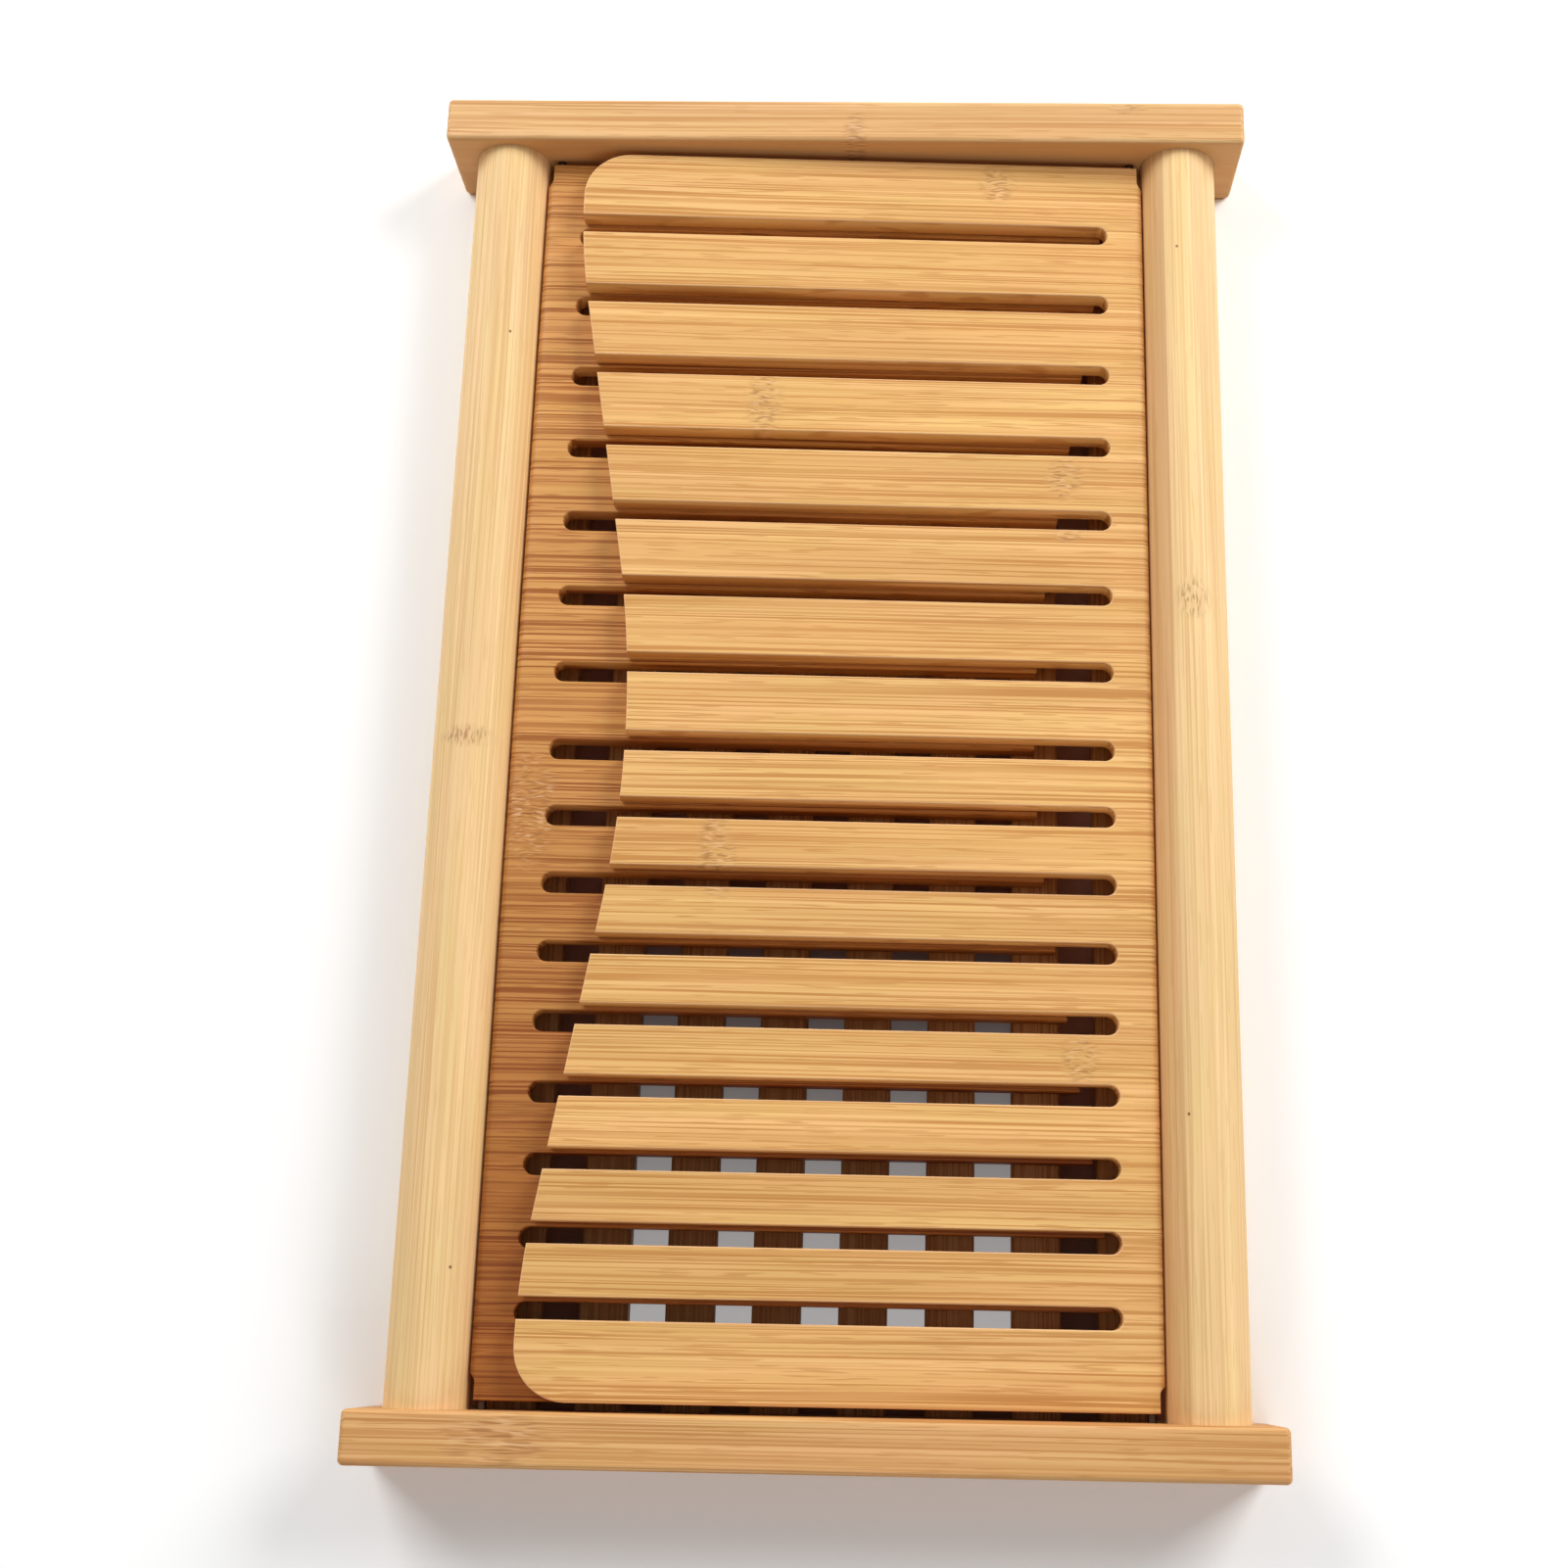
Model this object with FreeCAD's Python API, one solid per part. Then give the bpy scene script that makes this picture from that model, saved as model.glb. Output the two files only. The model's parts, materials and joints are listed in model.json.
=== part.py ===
"""Folding bread slicing guide in bamboo, shown folded flat.

Two end rails carry two round dowels, a base of crumb slats and two slotted panels.
Each panel turns on steel pins in the rails. Folded, the left panel slopes down onto
the slats and the right panel lies on it. Opened, each stands against its dowel, and
a knife runs down through the slots of both.

Frame: origin on the table under the middle, +X towards the right dowel,
+Y towards the far rail, +Z up. Millimetres.
"""
import FreeCAD, Part
import math
import os

V = FreeCAD.Vector
Y_AXIS = V(0, 1, 0)

# ---- end rails
rail_length = 156.0          # along X
rail_height = 20.0
rail_thickness = 9.0
rail_edge_radius = 1.0       # all outside edges are eased
inner_length = 238.5         # between the rails' inner faces

# ---- dowels, glued into blind sockets in the rails
dowel_diameter = 14.5
dowel_inset = 4.85           # rail end to the dowel's outer side
dowel_top_drop = 2.0         # dowel top below the rail top
dowel_socket_depth = 6.0

# ---- crumb slats, tenoned into the rails
slat_count = 8
slat_width = 8.5
slat_side_gap = 1.9          # outer slats to the dowels, seen from above
slat_thickness = 4.0
slat_edge_radius = 0.6
mortise_depth = 5.0

# ---- slotted panels
panel_thickness = 4.0
panel_tip_gap = 5.7          # finger tips to the other panel's hinge axis, folded
panel_end_gap = 1.5          # panel end to rail
panel_corner_radius = 9.0    # corners of the free edge
hinge_height = 11.5          # hinge axis above the table

# ---- knife slots: wide slices towards the far rail, thin slices towards the near rail
slot_width = 3.8
slot_back = 6.8              # hinge edge to the closed end of a slot
wide_slice = 15.0
thin_slice = 12.5
wide_slice_count = 7
thin_slice_count = 8
slot_stagger = 0.8           # left panel's slots stand this much nearer than the right's

# ---- dipped free edge: a hollow arc in the middle, straight flanks, round shoulders
dip_flank_angle = 9.4        # degrees from the hinge line
dip_hollow_radius = 205.0
dip_shoulder_radius = 135.0

# ---- relief at both ends of the hinge edge
relief_depth = 0.8
relief_length = 4.5
relief_step = 1.2            # length of the sloped step into the relief

# ---- hinge pins, pressed into the panel ends and running in the rails
pin_diameter = 1.6
pin_in_panel = 9.0
pin_in_rail = 5.0
pin_end_radius = 0.3

# ---- clearances
glue_gap = 0.05              # round a glued joint
socket_end_gap = 0.3         # behind a dowel, tenon or pin in its blind hole
pin_press_gap = 0.01         # pin in panel
pin_running_gap = 0.06       # pin in rail
swing_gap = 0.3              # panel to dowel
stack_gap = 0.15             # right panel over left panel, folded
slat_rest_gap = 0.2          # left panel's fingers over the slats, folded
cut_over = 1.0               # how far a cutter runs past an open face

# ---- derived places
rail_inner_y = inner_length / 2
dowel_radius = dowel_diameter / 2
dowel_x = rail_length / 2 - dowel_inset - dowel_radius
dowel_z = rail_height - dowel_top_drop - dowel_radius
hinge_x = dowel_x - dowel_radius - swing_gap - panel_thickness / 2
panel_length = inner_length - 2 * panel_end_gap
hinge_inset = panel_thickness / 2          # hinge axis to the rounded hinge edge
panel_reach = 2 * hinge_x - panel_tip_gap  # hinge axis to the finger tips
fold_tilt = math.degrees(math.asin((panel_thickness + stack_gap) / (2 * hinge_x)))
tilt = math.radians(fold_tilt)
tip_underside_z = (hinge_height - panel_reach * math.sin(tilt)
                   - panel_thickness / 2 * math.cos(tilt))
slat_top = tip_underside_z - slat_rest_gap
slat_bottom = slat_top - slat_thickness
slat_field = 2 * (dowel_x - dowel_radius - slat_side_gap)   # outer sides of the outer slats
slat_pitch = (slat_field - slat_width) / (slat_count - 1)
slot_count = wide_slice_count + thin_slice_count + 1
slot_field = wide_slice_count * wide_slice + thin_slice_count * thin_slice

parallel = 1e-6              # two directions are parallel below this cross product
SIDES = {"left": -1, "right": 1}
ENDS = {"near": -1, "far": 1}


def box(x0, x1, y0, y1, z0, z1):
    """Box between two corners."""
    return Part.makeBox(x1 - x0, y1 - y0, z1 - z0, V(x0, y0, z0))


def rod_y(x, z, y0, y1, radius):
    """Cylinder along Y."""
    return Part.makeCylinder(radius, y1 - y0, V(x, y0, z), Y_AXIS)


def ordered(a, b):
    """The two values, lower one first."""
    return (min(a, b), max(a, b))


def slat_centres():
    """X of each slat's middle, from left to right."""
    first = -slat_pitch * (slat_count - 1) / 2
    return [first + slat_pitch * i for i in range(slat_count)]


def slot_places(side):
    """Y of each slot's middle in one panel, from the far rail to the near rail."""
    shift = slot_stagger if side < 0 else 0.0
    places = [slot_field / 2 - shift]
    for i in range(slot_count - 1):
        places.append(places[-1] - (wide_slice if i < wide_slice_count else thin_slice))
    return places


def make_rail(end):
    """End rail with its dowel sockets, slat mortises and hinge pin holes."""
    inner = end * rail_inner_y
    outer = end * (rail_inner_y + rail_thickness)
    half = rail_length / 2
    rail = box(-half, half, *ordered(inner, outer), 0, rail_height)
    rail = rail.makeFillet(rail_edge_radius, rail.Edges)
    mouth = inner - end * cut_over
    for side in SIDES.values():
        socket = ordered(mouth, inner + end * dowel_socket_depth)
        rail = rail.cut(rod_y(side * dowel_x, dowel_z, *socket, dowel_radius + glue_gap))
        hole = ordered(mouth, inner + end * (pin_in_rail + socket_end_gap))
        rail = rail.cut(rod_y(side * hinge_x, hinge_height, *hole,
                              pin_diameter / 2 + pin_running_gap))
    half_width = slat_width / 2 + glue_gap
    pocket = ordered(mouth, inner + end * mortise_depth)
    for x in slat_centres():
        rail = rail.cut(box(x - half_width, x + half_width, *pocket,
                            slat_bottom - glue_gap, slat_top + glue_gap))
    return rail


def make_dowel(side):
    """Round dowel from socket to socket."""
    reach = rail_inner_y + dowel_socket_depth - socket_end_gap
    return rod_y(side * dowel_x, dowel_z, -reach, reach, dowel_radius)


def make_slat(x):
    """Flat crumb slat with eased long edges, tenoned into both rails."""
    reach = rail_inner_y + mortise_depth - socket_end_gap
    slat = box(x - slat_width / 2, x + slat_width / 2, -reach, reach, slat_bottom, slat_top)
    long_edges = [e for e in slat.Edges
                  if e.tangentAt(e.FirstParameter).cross(Y_AXIS).Length < parallel]
    return slat.makeFillet(slat_edge_radius, long_edges)


def arc(start, middle, end):
    """Edge through three points."""
    return Part.Arc(start, middle, end).toShape()


def line(start, end):
    """Straight edge."""
    return Part.LineSegment(start, end).toShape()


def free_edge():
    """Edges of the dipped free edge and its corners, from the far end to the near end.

    Worked out for the far half and mirrored: a hollow arc at the middle, a straight
    flank, a shoulder arc that ends level with the finger tips, and the corner arc.
    """
    angle = math.radians(dip_flank_angle)
    sin_a = math.sin(angle)
    drop = 1 - math.cos(angle)
    corner_y = panel_length / 2 - panel_corner_radius
    shoulder_y = corner_y - dip_shoulder_radius * sin_a
    shoulder_x = panel_reach - dip_shoulder_radius * drop
    hollow_y = dip_hollow_radius * sin_a
    hollow_x = shoulder_x - (shoulder_y - hollow_y) * math.tan(angle)
    lowest_x = hollow_x - dip_hollow_radius * drop
    half_sin = math.sin(angle / 2)
    half_drop = 1 - math.cos(angle / 2)
    corner_mid = panel_corner_radius * math.sin(math.pi / 4)
    corner_x = panel_reach - panel_corner_radius

    def half(sign):
        end = V(corner_x, sign * panel_length / 2, 0)
        turn = V(corner_x + corner_mid, sign * (corner_y + corner_mid), 0)
        tip = V(panel_reach, sign * corner_y, 0)
        crown = V(panel_reach - dip_shoulder_radius * half_drop,
                  sign * (corner_y - dip_shoulder_radius * half_sin), 0)
        shoulder = V(shoulder_x, sign * shoulder_y, 0)
        hollow = V(hollow_x, sign * hollow_y, 0)
        return [arc(end, turn, tip), arc(tip, crown, shoulder), line(shoulder, hollow)], hollow

    far, far_hollow = half(1)
    near, near_hollow = half(-1)
    return far + [arc(far_hollow, V(lowest_x, 0, 0), near_hollow)] + near[::-1]


def hinge_side():
    """Edges of the hinge edge, its two relieved ends and the panel's straight ends."""
    edge_x = -hinge_inset
    relief_x = edge_x + relief_depth
    corner_x = panel_reach - panel_corner_radius
    end_y = panel_length / 2
    foot_y = end_y - relief_length

    def end(sign):
        corner = V(corner_x, sign * end_y, 0)
        outer = V(relief_x, sign * end_y, 0)
        step = V(relief_x, sign * (foot_y + relief_step), 0)
        foot = V(edge_x, sign * foot_y, 0)
        return [line(corner, outer), line(outer, step), line(step, foot)], foot

    near, near_foot = end(-1)
    far, far_foot = end(1)
    return near + [line(near_foot, far_foot)] + far[::-1]


def make_slot(y):
    """Knife slot from its round closed end out past the free edge."""
    radius = slot_width / 2
    closed_x = slot_back - hinge_inset + radius
    low = -panel_thickness / 2 - cut_over
    high = panel_thickness / 2 + cut_over
    slot = box(closed_x, panel_reach + cut_over, y - radius, y + radius, low, high)
    round_end = Part.makeCylinder(radius, high - low, V(closed_x, y, low))
    return slot.fuse(round_end)


def make_flat_panel(side):
    """Slotted panel lying flat, hinge axis on the Y axis and fingers towards +X.

    The outline is raised to the panel's thickness, rounded along the hinge edge about
    the hinge axis, slotted, and bored at both ends for its pins.
    """
    outline = Part.Wire(Part.__sortEdges__(free_edge() + hinge_side()))
    panel = Part.Face(outline).extrude(V(0, 0, panel_thickness))
    panel.translate(V(0, 0, -panel_thickness / 2))
    half = panel_length / 2
    round_edge = rod_y(0, 0, -half, half, hinge_inset)
    flat_part = box(0, panel_reach, -half, half, -panel_thickness / 2, panel_thickness / 2)
    panel = panel.common(round_edge.fuse(flat_part))
    for y in slot_places(side):
        panel = panel.cut(make_slot(y))
    for end in ENDS.values():
        bore = ordered(end * (half + cut_over), end * (half - pin_in_panel - socket_end_gap))
        panel = panel.cut(rod_y(0, 0, *bore, pin_diameter / 2 + pin_press_gap))
    return panel


def make_pin(end):
    """Hinge pin on the Y axis, from its seat in the panel end into the rail."""
    tail = end * (panel_length / 2 - pin_in_panel)
    head = end * (rail_inner_y + pin_in_rail)
    pin = rod_y(0, 0, *ordered(tail, head), pin_diameter / 2)
    rims = [e for e in pin.Edges if isinstance(e.Curve, Part.Circle)]
    return pin.makeChamfer(pin_end_radius, rims)


def folded(shape, side):
    """Place a flat panel or its pin at its hinge, turned to its folded slope.

    The left panel slopes down to the right. The right panel has the same outline, lies
    turned over, and slopes up to the left, level with the left one all the way.
    """
    placed = shape.copy()
    turn = fold_tilt if side < 0 else fold_tilt + 180
    placed.rotate(V(0, 0, 0), Y_AXIS, turn)
    placed.translate(V(side * hinge_x, 0, hinge_height))
    return placed


def make_parts():
    """Every piece by its node name."""
    parts = {}
    for end_name, end in ENDS.items():
        parts[end_name + "_rail"] = make_rail(end)
    for side_name, side in SIDES.items():
        parts[side_name + "_dowel"] = make_dowel(side)
        parts[side_name + "_panel"] = folded(make_flat_panel(side), side)
        for end_name, end in ENDS.items():
            parts["%s_%s_hinge_pin" % (side_name, end_name)] = folded(make_pin(end), side)
    for number, x in enumerate(slat_centres(), 1):
        parts["slat_%d" % number] = make_slat(x)
    return parts


def main():
    os.makedirs("parts", exist_ok=True)
    for name, shape in make_parts().items():
        shape.exportStep("parts/%s.step" % name)
        print("%-22s %9.1f mm3, %d solid, valid %s"
              % (name, shape.Volume, len(shape.Solids), shape.isValid()))
    print("fold tilt %.3f deg, hinge x %.3f, slats z %.2f to %.2f"
          % (fold_tilt, hinge_x, slat_bottom, slat_top))


main()
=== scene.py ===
"""Folding bread slicing guide: its two slotted panels, its dowels and every bamboo finish.

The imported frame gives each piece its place. The two panels and the two dowels are made
here with eased edges and take the place of their plain nodes. Rails, slats and pins keep
their own shape and get their finish here.

Row frame: metres, +X towards the right dowel, +Y towards the far rail, +Z up.
"""

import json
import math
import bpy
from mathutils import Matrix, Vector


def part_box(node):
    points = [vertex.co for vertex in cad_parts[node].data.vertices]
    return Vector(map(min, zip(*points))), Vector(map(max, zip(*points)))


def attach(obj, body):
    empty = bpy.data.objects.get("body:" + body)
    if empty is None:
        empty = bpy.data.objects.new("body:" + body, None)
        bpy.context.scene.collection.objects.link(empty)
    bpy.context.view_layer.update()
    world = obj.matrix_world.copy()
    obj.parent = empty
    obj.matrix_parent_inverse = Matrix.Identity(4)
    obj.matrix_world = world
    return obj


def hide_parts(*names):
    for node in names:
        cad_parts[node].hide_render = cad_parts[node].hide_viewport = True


bl_info = {
    "name": "Bread slicing guide",
    "version": (1, 0, 0),
    "blender": (4, 5, 0),
    "location": "3D View > Sidebar > Slicing guide",
    "description": "Makes the panels, dowels, finishes and studio of a bread slicing guide",
    "category": "Add Mesh",
}

import bpy
import numpy as np
from bpy.props import FloatProperty, FloatVectorProperty, IntProperty, PointerProperty
from mathutils import Vector

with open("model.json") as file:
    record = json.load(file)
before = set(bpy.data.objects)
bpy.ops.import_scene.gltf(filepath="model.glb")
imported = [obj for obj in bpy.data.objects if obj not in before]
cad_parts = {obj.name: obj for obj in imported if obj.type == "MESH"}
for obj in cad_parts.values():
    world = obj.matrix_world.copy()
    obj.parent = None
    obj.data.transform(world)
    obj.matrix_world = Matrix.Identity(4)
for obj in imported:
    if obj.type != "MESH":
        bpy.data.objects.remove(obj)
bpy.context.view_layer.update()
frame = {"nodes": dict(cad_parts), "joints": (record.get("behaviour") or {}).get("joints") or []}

MM = 0.001
HINGES = {j["child"]: np.array(j["pos_m"], float) for j in frame["joints"]}
DOWEL_LOW, DOWEL_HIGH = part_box("right_dowel")

# Points that the rounds are drawn with, and the angle past which an edge is shaded crisp.
CORNER_POINTS = 13
SLOT_END_POINTS = 15
TIP_POINTS = 7
EASE_POINTS = 6
DOWEL_AROUND, DOWEL_ALONG, DOWEL_EASE_POINTS = 96, 120, 5
CRISP_ANGLE = math.radians(35)

# A panel's plain ends stop this far short of the hinge axis, where the round edge begins.
PLAIN_END = 0.3 * MM
# Power on the sine and cosine of the hinge edge's round: 1 is a half circle, less is squarer.
HINGE_SQUARENESS = 2 / 3
# Shaping marks of a dowel: lobes round it, and the lengths over which they turn and swell.
RIPPLE_LOBES, RIPPLE_TURN, RIPPLE_SWELL = 3, 31 * MM, 17 * MM


def linear(code):
    """Linear RGBA of an sRGB hex colour: (c + 0.055)^2.4 / 1.055^2.4, or c / 12.92 near black."""
    srgb = [int(code[i:i + 2], 16) / 255 for i in (1, 3, 5)]
    return tuple(((c + 0.055) / 1.055) ** 2.4 if c > 0.04045 else c / 12.92
                 for c in srgb) + (1.0,)


def length(name, description, millimetres):
    """A distance a user may change, given in millimetres."""
    return FloatProperty(name=name, description=description, default=millimetres * MM,
                         min=0.0, subtype="DISTANCE", unit="LENGTH", precision=5)


def colour(name, description, code):
    """A colour a user may change, given as sRGB hex."""
    return FloatVectorProperty(name=name, description=description, default=linear(code),
                               size=4, min=0.0, max=1.0, subtype="COLOR")


class GuideSizes(bpy.types.PropertyGroup):
    """Sizes of the panels and dowels."""
    panel_thickness: length("Panel thickness", "Thickness of a slotted panel", 4.0)
    panel_height: length("Panel height", "Hinge edge to the finger tips", 109.0)
    panel_length: length("Panel length", "Length of a panel along its hinge", 235.5)
    corner_radius: length("Corner radius", "Corners of the free edge", 9.0)
    slot_width: length("Slot width", "Width of a knife slot", 3.8)
    slot_back: length("Slot back", "Hinge edge to the closed end of a slot", 6.8)
    wide_slice: length("Wide slice", "Slot spacing in the far half", 15.0)
    thin_slice: length("Thin slice", "Slot spacing in the near half", 12.5)
    wide_count: IntProperty(name="Wide slices", description="Slots at the wide spacing",
                            default=7, min=1)
    thin_count: IntProperty(name="Thin slices", description="Slots at the thin spacing",
                            default=8, min=1)
    slot_stagger: length("Slot stagger", "How far the left panel's slots stand nearer", 0.8)
    dip_angle: FloatProperty(name="Dip angle", description="Slope of the dipped free edge",
                             default=math.radians(9.4), subtype="ANGLE", unit="ROTATION")
    dip_hollow: length("Dip hollow", "Radius in the middle of the dipped edge", 205.0)
    dip_shoulder: length("Dip shoulder", "Radius where the dip meets the tips", 135.0)
    relief_depth: length("Relief depth", "Relief at both ends of the hinge edge", 0.8)
    relief_length: length("Relief length", "Length of that relief", 4.5)
    relief_step: length("Relief step", "Length of the sloped step into the relief", 1.2)
    hinge_swell: length("Hinge swell", "How far the hinge edge is fuller than round", 0.25)
    edge_ease: length("Edge ease", "Sanded radius of a panel's edges", 0.25)
    dowel_ease: length("Dowel ease", "Sanded radius of a dowel's end", 0.4)
    dowel_waviness: length("Dowel waviness", "Depth of the shaping marks on a dowel", 0.05)


class GuideColours(bpy.types.PropertyGroup):
    """Colours of the woods, the steel and the studio."""
    far_rail_wood: colour("Far rail wood", "Oiled bamboo of the far rail", "#E6B881")
    near_rail_wood: colour("Near rail wood", "Oiled bamboo of the near rail", "#DDAB71")
    dowel_wood: colour("Dowel wood", "Pale sanded bamboo of the dowels", "#F6D29A")
    dowel_shade: colour("Dowel side strip", "Darker strip of the right dowel", "#E9BE88")
    upper_wood: colour("Upper panel wood", "Golden bamboo of the right panel", "#EBBA77")
    lower_wood: colour("Lower panel wood", "Caramel bamboo of the left panel", "#D39A58")
    # The left panel turns smoothly to this deeper colour along Y, towards its near end.
    lower_shade: colour("Lower panel, near end", "Deeper strips of the left panel", "#A4652B")
    # Darker than the other bamboo: painted shade for the slats' place under the folded panels.
    slat_wood: colour("Slat wood", "Bamboo of the crumb slats", "#CB9058")
    node_mark: colour("Node mark", "Brown flecks where a culm had a joint", "#8C5424")
    pore: colour("Pore", "Pin-point pores in a dowel", "#6B3F1C")
    # Pale wood for the flecks on a joint, and for the eased panel edges: there partly sanding wear
    # and partly a painted highlight.
    pale_fleck_and_edge_highlight: colour("Sanded edge", "Paler wood where the edges were sanded", "#FACB9C")
    pin_steel: colour("Pin steel", "Oiled steel wire of the hinge pins", "#4A3A2E")
    floor: colour("Floor", "Pale studio floor", "#FAFAFA")
    # Painted shade: dark brownish tone put on the floor where the folded panels close it in.
    painted_shade_floor: colour("Closed-in floor", "Floor under the folded panels", "#BC8C7C")


def sizes():
    """The guide's sizes in metres and radians."""
    return bpy.context.scene.guide_sizes


def tone(name):
    """Linear RGBA of one of the guide's colours."""
    return tuple(getattr(bpy.context.scene.guide_colours, name))


# ---------------------------------------------------------------- shapes

def put_mesh(name, points, faces, flat_faces=0):
    """Object from points (n, 3) and face lists; the last flat_faces faces are plane caps."""
    mesh = bpy.data.meshes.new(name)
    mesh.from_pydata(points, [], faces)
    smooth = np.ones(len(mesh.polygons), bool)
    if flat_faces:
        smooth[-flat_faces:] = False
    mesh.polygons.foreach_set("use_smooth", smooth)
    mesh.set_sharp_from_angle(angle=CRISP_ANGLE)
    mesh.validate()
    piece = bpy.data.objects.new(name, mesh)
    bpy.context.scene.collection.objects.link(piece)
    return piece


def ring_quads(around, rings):
    """Quads between closed rings of points: ring k holds points k * around onwards."""
    index = np.arange(rings * around).reshape(rings, around)
    nxt = np.roll(index, -1, axis=1)
    quads = np.stack([index[:-1], index[1:], nxt[1:], nxt[:-1]], axis=-1)
    return quads.reshape(-1, 4).tolist()


def tip_reach(y, s, reach):
    """Distance from hinge axis to the free edge at y.

    A circle of dip_hollow round the middle, then a straight flank at dip_angle, then a
    circle of dip_shoulder that ends level with the finger tips: each piece is
    u = centre +- sqrt(radius^2 - (y - centre_y)^2), joined where the slopes agree.
    """
    y = np.abs(y)
    corner_y = s.panel_length / 2 - s.corner_radius
    sin_a, drop = math.sin(s.dip_angle), 1 - math.cos(s.dip_angle)
    shoulder_y = corner_y - s.dip_shoulder * sin_a
    shoulder_u = reach - s.dip_shoulder * drop
    hollow_y = s.dip_hollow * sin_a
    slope = math.tan(s.dip_angle)
    hollow_u = shoulder_u - (shoulder_y - hollow_y) * slope
    lowest_u = hollow_u - s.dip_hollow * drop
    hollow = lowest_u + s.dip_hollow - np.sqrt(np.maximum(s.dip_hollow ** 2 - y ** 2, 0))
    flank = shoulder_u - (shoulder_y - y) * slope
    across = np.clip(corner_y - y, 0, s.dip_shoulder)
    shoulder = reach - s.dip_shoulder + np.sqrt(s.dip_shoulder ** 2 - across ** 2)
    return np.select([y < hollow_y, y < shoulder_y], [hollow, flank], shoulder)


def comb_outline(s, reach, nearer):
    """Closed outline of a panel in its own plane: rows of (u, y), clockwise from above.

    u runs from the hinge axis to the finger tips. The outline follows the far corner
    (a quarter circle), the tips with every slot (straight in, half circle, straight out),
    the near corner, the near end, the hinge edge with its reliefs, and the far end. The
    slots stand nearer by the distance given.
    Returns the rows and which of them belong to the hinge edge.
    """
    half = s.panel_length / 2
    radius = s.slot_width / 2
    half_thick = s.panel_thickness / 2
    closed_u = s.slot_back - half_thick + radius
    quarter = np.radians(np.linspace(90, 0, CORNER_POINTS))
    corner_u = reach - s.corner_radius
    corner_y = half - s.corner_radius
    far_corner = np.stack([corner_u + s.corner_radius * np.cos(quarter),
                           corner_y + s.corner_radius * np.sin(quarter)], axis=1)
    near_corner = far_corner[::-1] * [1, -1]
    spacing = [s.wide_slice] * s.wide_count + [s.thin_slice] * s.thin_count
    slots = sum(spacing) / 2 - np.cumsum([0] + spacing) - nearer
    turn = np.radians(np.linspace(90, 270, SLOT_END_POINTS))
    rows = [far_corner]
    start = corner_y
    for y in slots:
        tips = np.linspace(start, y + radius, TIP_POINTS)[1:]
        rows.append(np.stack([tip_reach(tips, s, reach), tips], axis=1))
        rows.append(np.stack([closed_u + radius * np.cos(turn),
                              y + radius * np.sin(turn)], axis=1))
        start = y - radius
        rows.append(np.array([[tip_reach(start, s, reach), start]]))
    tips = np.linspace(start, -corner_y, TIP_POINTS)[1:-1]
    rows.append(np.stack([tip_reach(tips, s, reach), tips], axis=1))
    rows.append(near_corner)
    full_u = half_thick + s.hinge_swell
    relief_u = s.relief_depth - half_thick
    foot_y = half - s.relief_length
    rows.append(np.array([[PLAIN_END, -half]]))
    hinge = np.array([[relief_u, -half], [relief_u, -foot_y - s.relief_step],
                      [-full_u, -foot_y], [-full_u, foot_y],
                      [relief_u, foot_y + s.relief_step], [relief_u, half]])
    first = sum(len(part) for part in rows)
    rows += [hinge, np.array([[PLAIN_END, half]])]
    return np.concatenate(rows), slice(first, first + len(hinge))


def inward_mitres(path):
    """For each corner of a clockwise path, the step that moves both its edges in by 1.

    With n1 and n2 the inward normals before and after, it is (n1 + n2) / (1 + n1.n2).
    """
    ahead = np.roll(path, -1, axis=0) - path
    ahead /= np.linalg.norm(ahead, axis=1, keepdims=True)
    after = np.stack([ahead[:, 1], -ahead[:, 0]], axis=1)
    before = np.roll(after, 1, axis=0)
    return (before + after) / (1 + np.sum(before * after, axis=1, keepdims=True))


def panel_surface(s, nearer):
    """Points and faces of one panel, hinge axis on Y, fingers towards +u, before folding.

    A moulding is carried round the outline: from the top face over a quarter circle of
    edge_ease, down the wall and over the same quarter circle below. Along the hinge edge
    it is a squared round about the hinge axis: u = -(h + hinge_swell) sin(t)^(2/3) and
    z = h cos(t)^(2/3), with h half the thickness, cut flat at the reliefs. The two faces
    close it. The third result is 1 on the eased edges.
    """
    rings = 2 * EASE_POINTS
    half_thick = s.panel_thickness / 2
    path, edge = comb_outline(s, s.panel_height - half_thick, nearer)
    mitres = inward_mitres(path)
    quarter = np.radians(np.linspace(0, 90, EASE_POINTS))
    inset = s.edge_ease * (1 - np.sin(quarter))
    height = half_thick - s.edge_ease * (1 - np.cos(quarter))
    inset = np.concatenate([inset, inset[::-1]])[:, None]
    height = np.concatenate([height, -height[::-1]])[:, None]
    around = len(path)
    u = path[:, 0] + inset * mitres[:, 0]
    y = path[:, 1] + inset * mitres[:, 1]
    z = np.repeat(height, around, axis=1)
    # The hinge edge has its squared round instead, and is eased along Y at both ends.
    turn = np.radians(np.linspace(0, 180, rings))[:, None]
    outwards = np.abs(np.sin(turn)) ** HINGE_SQUARENESS
    upwards = np.sign(np.cos(turn)) * np.abs(np.cos(turn)) ** HINGE_SQUARENESS
    u[:, edge] = np.maximum(-(half_thick + s.hinge_swell) * outwards, path[edge, 0])
    z[:, edge] = half_thick * upwards
    y[:, edge] = path[edge, 1]
    ends = [edge.start, edge.stop - 1]
    y[:, ends] = path[ends, 1] - np.sign(path[ends, 1]) * inset
    points = np.stack([u, y, z], axis=-1).reshape(-1, 3)
    faces = ring_quads(around, rings)
    top = list(range(around))[::-1]
    bottom = list(range((rings - 1) * around, rings * around))
    # 1 on the rounds of the eased edges, which the finish paints paler: sanding wear and a painted
    # highlight.
    sanded = np.ones((rings, around))
    sanded[[0, EASE_POINTS - 1, EASE_POINTS, -1]] = 0
    sanded[:, edge] = 0
    return points, faces + [top, bottom], sanded.ravel()


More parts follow.
